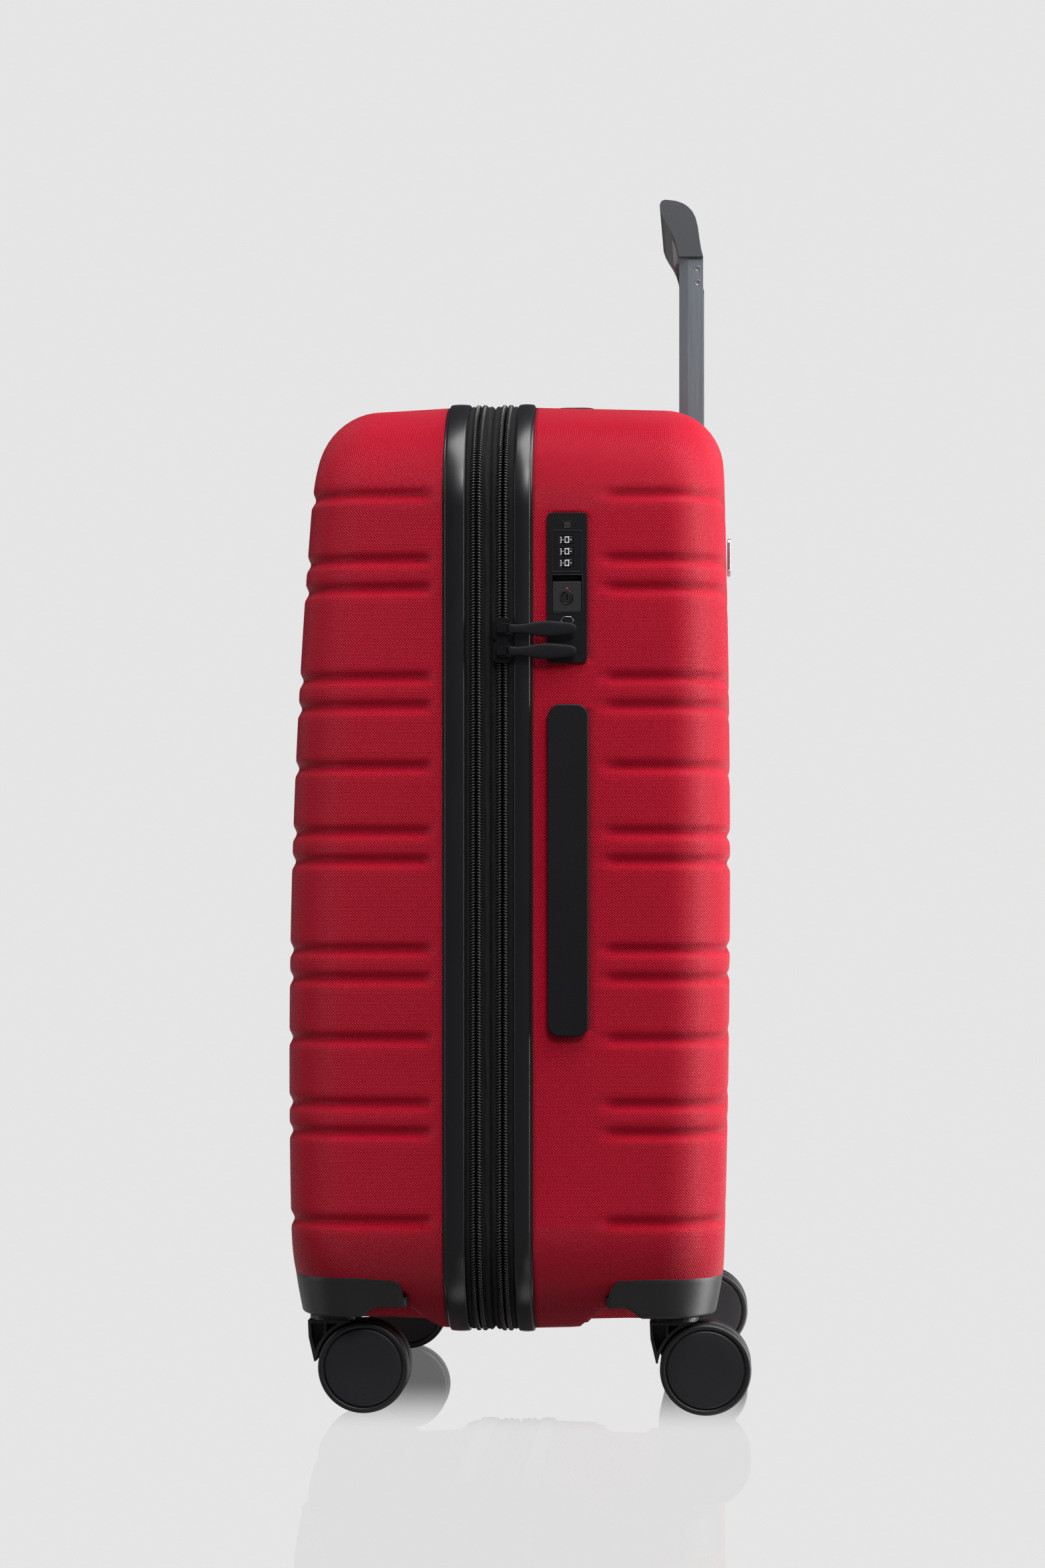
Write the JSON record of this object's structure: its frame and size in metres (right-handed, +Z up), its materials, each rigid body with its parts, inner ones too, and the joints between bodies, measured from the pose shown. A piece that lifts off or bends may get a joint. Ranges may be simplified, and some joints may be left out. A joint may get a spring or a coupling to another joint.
{
  "type": "hard shell suitcase on wheels",
  "caption": "Upright hard shell travel case with ribbed halves, a zipped lid, an expansion zip, a combination lock, sprung carry handles, a telescopic handle and swivelling twin casters.",
  "frame": {"origin": "on the floor under the middle of the case", "axes": "+X towards the lock and side handle, -Y towards the lid, +Z up"},
  "size_m": [0.4522, 0.3044, 0.816],
  "materials": {
    "red_shell": "satin red polycarbonate with a fine moulded diamond texture",
    "black_trim": "semi gloss black",
    "lining_cloth": "woven polyester",
    "zip_tape": "woven tape with a spiral coil",
    "band_cloth": "ballistic weave",
    "webbing": "flat webbing",
    "pocket_mesh": "fine mesh",
    "black_plastic": "matte black",
    "housing_plastic": "fine spark texture, black",
    "fork_plastic": "matte black nylon",
    "handle_rubber": "soft touch black",
    "feet_rubber": "matte",
    "pull_rubber": "soft touch black",
    "zip_metal": "black lacquer",
    "lock_plastic": "satin black",
    "dial_plastic": "black with white figures",
    "key_metal": "darkened steel",
    "tube_metal": "dark anodised",
    "rod_metal": "drawn",
    "screw_metal": "zinc plated",
    "grip_plastic": "satin dark grey",
    "plate_metal": "satin",
    "wheel_plastic": "satin black",
    "tyre": "matte polyurethane"
  },
  "bodies": {
    "rear_half": {"rear_shell": "red_shell", "rear_edge_trim": "black_trim", "rear_lining": "lining_cloth", "main_zip_rear_tape": "zip_tape", "side_handle_pan": "black_plastic", "top_handle_pan": "black_plastic", "lock_housing": "lock_plastic", "trolley_outer_tubes": "tube_metal", "trolley_top_bezel": "black_plastic", "trolley_foot_bracket": "black_plastic", "packing_straps": "webbing", "packing_buckle": "black_plastic", "rear_side_feet": "feet_rubber", "rear_name_plate": "plate_metal", "rear_wheel_housings": "housing_plastic", "rear_housing_screws": "screw_metal"},
    "lid": {"middle_band": "band_cloth", "main_zip_front_tape": "zip_tape", "expansion_zip_rear_tape": "zip_tape", "expansion_gusset": "lining_cloth"},
    "front_half": {"front_shell": "red_shell", "front_edge_trim": "black_trim", "front_lining": "lining_cloth", "expansion_zip_front_tape": "zip_tape", "front_side_feet": "feet_rubber", "front_pocket": "pocket_mesh", "front_wheel_housings": "housing_plastic", "front_housing_screws": "screw_metal"},
    "upper_slider": {"main_slider_upper": "zip_metal"},
    "upper_pull": {"main_pull_upper": "pull_rubber"},
    "lower_slider": {"main_slider_lower": "zip_metal"},
    "lower_pull": {"main_pull_lower": "pull_rubber"},
    "expansion_zip_slider": {"expansion_slider": "zip_metal"},
    "expansion_zip_pull": {"expansion_pull": "pull_rubber"},
    "dial_top": {"lock_dial_1": "dial_plastic"},
    "dial_middle": {"lock_dial_2": "dial_plastic"},
    "dial_bottom": {"lock_dial_3": "dial_plastic"},
    "lock_release": {"lock_release_button": "black_plastic"},
    "lock_key": {"lock_key_cylinder": "key_metal"},
    "lock_reset": {"lock_reset_button": "black_plastic"},
    "side_carry_handle": {"side_handle": "handle_rubber"},
    "top_carry_handle": {"top_handle": "handle_rubber"},
    "trolley_middle": {"trolley_mid_tubes": "tube_metal"},
    "trolley_upper": {"trolley_top_tubes": "tube_metal", "trolley_grip": "grip_plastic", "grip_screws": "screw_metal"},
    "grip_push_button": {"grip_button": "black_plastic", "release_rods": "rod_metal"},
    "front_right_swivel": {"front_right_fork": "fork_plastic"},
    "front_right_wheels": {"front_right_wheel_cores": "wheel_plastic", "front_right_tyres": "tyre"},
    "front_left_swivel": {"front_left_fork": "fork_plastic"},
    "front_left_wheels": {"front_left_wheel_cores": "wheel_plastic", "front_left_tyres": "tyre"},
    "rear_right_swivel": {"rear_right_fork": "fork_plastic"},
    "rear_right_wheels": {"rear_right_wheel_cores": "wheel_plastic", "rear_right_tyres": "tyre"},
    "rear_left_swivel": {"rear_left_fork": "fork_plastic"},
    "rear_left_wheels": {"rear_left_wheel_cores": "wheel_plastic", "rear_left_tyres": "tyre"}
  },
  "joints": [
    {"name": "lid_hinge", "type": "hinge", "parent": "rear_half", "child": "lid", "pos_m": [-0.2245, -0.0093, 0.36], "axis": [0, 0, -1], "range_deg": [0, 180]},
    {"name": "expansion_slide", "type": "slide", "parent": "lid", "child": "front_half", "axis": [0, -1, 0], "range_m": [0, 0.04], "deforming": ["expansion_gusset"]},
    {"name": "upper_slider_slide", "type": "slide", "parent": "rear_half", "child": "upper_slider", "axis": [0, 0, 1], "range_m": [0, 0.07]},
    {"name": "upper_pull_swing", "type": "hinge", "parent": "upper_slider", "child": "upper_pull", "pos_m": [0.2264, -0.0093, 0.51285], "axis": [0, 0, -1], "range_deg": [0, 100]},
    {"name": "lower_slider_slide", "type": "slide", "parent": "rear_half", "child": "lower_slider", "axis": [0, 0, -1], "range_m": [0, 0.36]},
    {"name": "lower_pull_swing", "type": "hinge", "parent": "lower_slider", "child": "lower_pull", "pos_m": [0.2264, -0.0093, 0.49835], "axis": [0, 0, -1], "range_deg": [0, 100]},
    {"name": "expansion_slider_slide", "type": "slide", "parent": "lid", "child": "expansion_zip_slider", "axis": [1, 0, 0], "range_m": [0, 0.15]},
    {"name": "expansion_pull_swing", "type": "hinge", "parent": "expansion_zip_slider", "child": "expansion_zip_pull", "pos_m": [-0.06725, -0.0265, 0.6724], "axis": [-1, 0, 0], "range_deg": [0, 100]},
    {"name": "dial_top_spin", "type": "hinge", "parent": "rear_half", "child": "dial_top", "pos_m": [0.2139, 0.0326, 0.5707], "axis": [0, 0, 1], "continuous": true},
    {"name": "dial_middle_spin", "type": "hinge", "parent": "rear_half", "child": "dial_middle", "pos_m": [0.2139, 0.0326, 0.5632], "axis": [0, 0, 1], "continuous": true},
    {"name": "dial_bottom_spin", "type": "hinge", "parent": "rear_half", "child": "dial_bottom", "pos_m": [0.2139, 0.0326, 0.5557], "axis": [0, 0, 1], "continuous": true},
    {"name": "lock_release_slide", "type": "slide", "parent": "rear_half", "child": "lock_release", "axis": [0, 0, 1], "range_m": [0, 0.0035], "stiffness_N_per_m": 300, "springref_m": -0.002},
    {"name": "lock_key_turn", "type": "hinge", "parent": "lock_release", "child": "lock_key", "pos_m": [0.2139, 0.0326, 0.5332], "axis": [1, 0, 0], "range_deg": [0, 90]},
    {"name": "lock_reset_press", "type": "slide", "parent": "rear_half", "child": "lock_reset", "axis": [-1, 0, 0], "range_m": [0, 0.0015], "stiffness_N_per_m": 300, "springref_m": -0.002},
    {"name": "side_handle_lift", "type": "slide", "parent": "rear_half", "child": "side_carry_handle", "axis": [1, 0, 0], "range_m": [0, 0.02], "stiffness_N_per_m": 200, "springref_m": -0.004},
    {"name": "top_handle_lift", "type": "slide", "parent": "rear_half", "child": "top_carry_handle", "axis": [0, 0, 1], "range_m": [0, 0.02], "stiffness_N_per_m": 200, "springref_m": -0.004},
    {"name": "trolley_lower_slide", "type": "slide", "parent": "rear_half", "child": "trolley_middle", "axis": [0, 0, 1], "range_m": [0, 0.165]},
    {"name": "trolley_upper_slide", "type": "slide", "parent": "trolley_middle", "child": "trolley_upper", "axis": [0, 0, 1], "range_m": [-0.108, 0.06]},
    {"name": "grip_button_press", "type": "slide", "parent": "trolley_upper", "child": "grip_push_button", "axis": [0, 0, -1], "range_m": [0, 0.003], "stiffness_N_per_m": 1500, "springref_m": -0.003},
    {"name": "front_right_swivel_turn", "type": "hinge", "parent": "front_half", "child": "front_right_swivel", "pos_m": [0.1725, -0.1235, 0.065], "axis": [0, 0, 1], "continuous": true},
    {"name": "front_right_wheels_roll", "type": "hinge", "parent": "front_right_swivel", "child": "front_right_wheels", "pos_m": [0.1725, -0.1029, 0.03], "axis": [1, 0, 0], "continuous": true},
    {"name": "front_left_swivel_turn", "type": "hinge", "parent": "front_half", "child": "front_left_swivel", "pos_m": [-0.1725, -0.1235, 0.065], "axis": [0, 0, 1], "continuous": true},
    {"name": "front_left_wheels_roll", "type": "hinge", "parent": "front_left_swivel", "child": "front_left_wheels", "pos_m": [-0.1725, -0.1029, 0.03], "axis": [1, 0, 0], "continuous": true},
    {"name": "rear_right_swivel_turn", "type": "hinge", "parent": "rear_half", "child": "rear_right_swivel", "pos_m": [0.1725, 0.1015, 0.065], "axis": [0, 0, 1], "continuous": true},
    {"name": "rear_right_wheels_roll", "type": "hinge", "parent": "rear_right_swivel", "child": "rear_right_wheels", "pos_m": [0.1725, 0.1221, 0.03], "axis": [1, 0, 0], "continuous": true},
    {"name": "rear_left_swivel_turn", "type": "hinge", "parent": "rear_half", "child": "rear_left_swivel", "pos_m": [-0.1725, 0.1015, 0.065], "axis": [0, 0, 1], "continuous": true},
    {"name": "rear_left_wheels_roll", "type": "hinge", "parent": "rear_left_swivel", "child": "rear_left_wheels", "pos_m": [-0.1725, 0.1221, 0.03], "axis": [1, 0, 0], "continuous": true}
  ]
}
